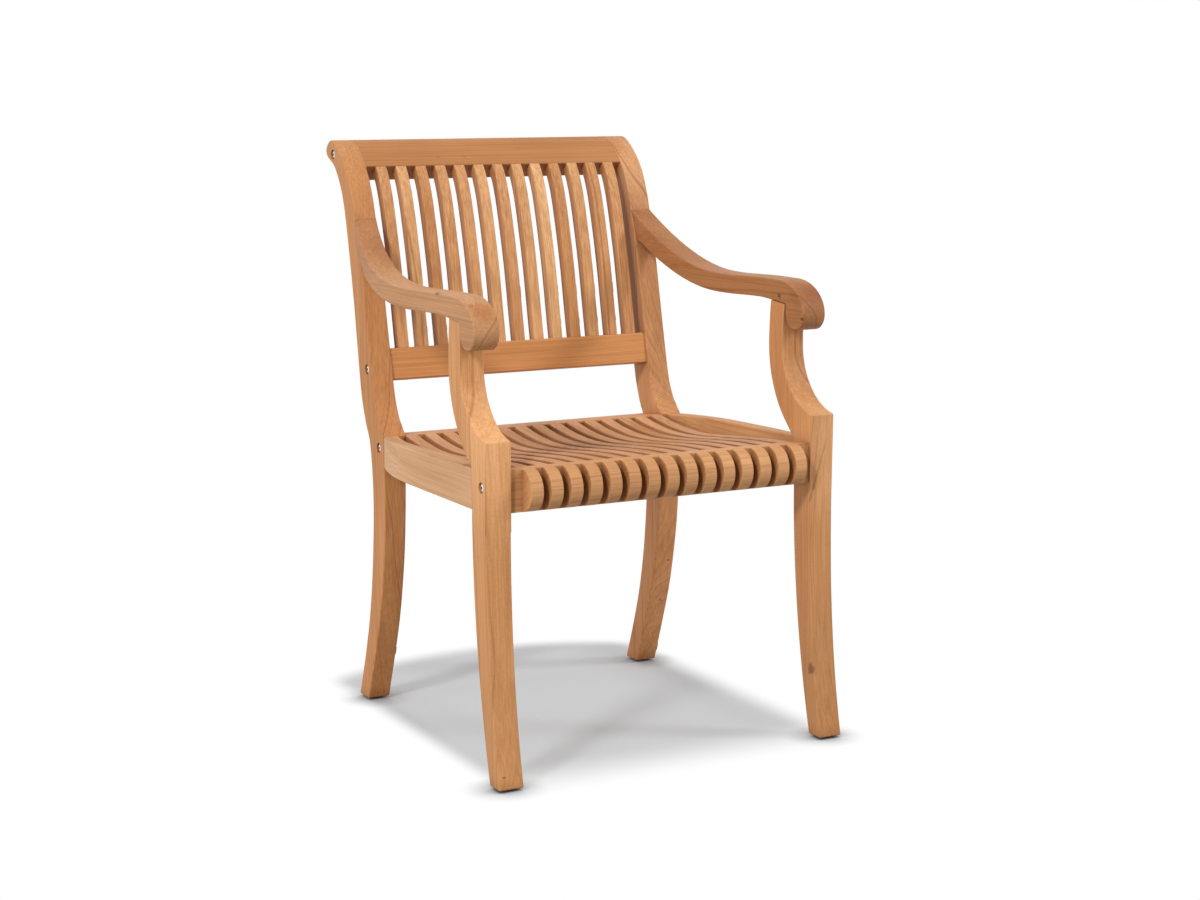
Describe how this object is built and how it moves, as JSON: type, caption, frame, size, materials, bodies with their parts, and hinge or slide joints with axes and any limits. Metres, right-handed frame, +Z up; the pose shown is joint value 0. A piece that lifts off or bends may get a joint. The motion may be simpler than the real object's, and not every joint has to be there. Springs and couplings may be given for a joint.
{
  "type": "dining armchair",
  "caption": "Solid teak dining armchair with scrolled arms and crest, a curved slatted back, a dished slatted seat and a toothed front rail, joined with recessed bolts.",
  "frame": {"origin": "on the floor, under the middle of the chair's overall width and depth", "axes": "+X towards the chair's right as seen from the front, -Y is the front, +Z up"},
  "size_m": [0.5846, 0.6708, 0.8952],
  "materials": {
    "teak_frame": "satin",
    "teak_slats": "satin",
    "steel": "satin",
    "black_plastic": "matte"
  },
  "bodies": {
    "root": {"rear_post_left": "teak_frame", "rear_post_right": "teak_frame", "front_leg_left": "teak_frame", "front_leg_right": "teak_frame", "arm_left": "teak_frame", "arm_right": "teak_frame", "side_rail_left": "teak_frame", "side_rail_right": "teak_frame", "seat_front_rail": "teak_frame", "seat_back_rail": "teak_frame", "lower_back_rail": "teak_frame", "crest_rail": "teak_frame", "seat_slat_01": "teak_slats", "seat_slat_02": "teak_slats", "seat_slat_03": "teak_slats", "seat_slat_04": "teak_slats", "seat_slat_05": "teak_slats", "seat_slat_06": "teak_slats", "seat_slat_07": "teak_slats", "seat_slat_08": "teak_slats", "seat_slat_09": "teak_slats", "seat_slat_10": "teak_slats", "seat_slat_11": "teak_slats", "seat_slat_12": "teak_slats", "seat_slat_13": "teak_slats", "seat_slat_14": "teak_slats", "seat_slat_15": "teak_slats", "back_slat_01": "teak_slats", "back_slat_02": "teak_slats", "back_slat_03": "teak_slats", "back_slat_04": "teak_slats", "back_slat_05": "teak_slats", "back_slat_06": "teak_slats", "back_slat_07": "teak_slats", "back_slat_08": "teak_slats", "back_slat_09": "teak_slats", "back_slat_10": "teak_slats", "back_slat_11": "teak_slats", "back_slat_12": "teak_slats", "back_slat_13": "teak_slats", "connector_bolts": "steel", "barrel_nuts": "steel", "foot_glides": "black_plastic"}
  },
  "joints": []
}
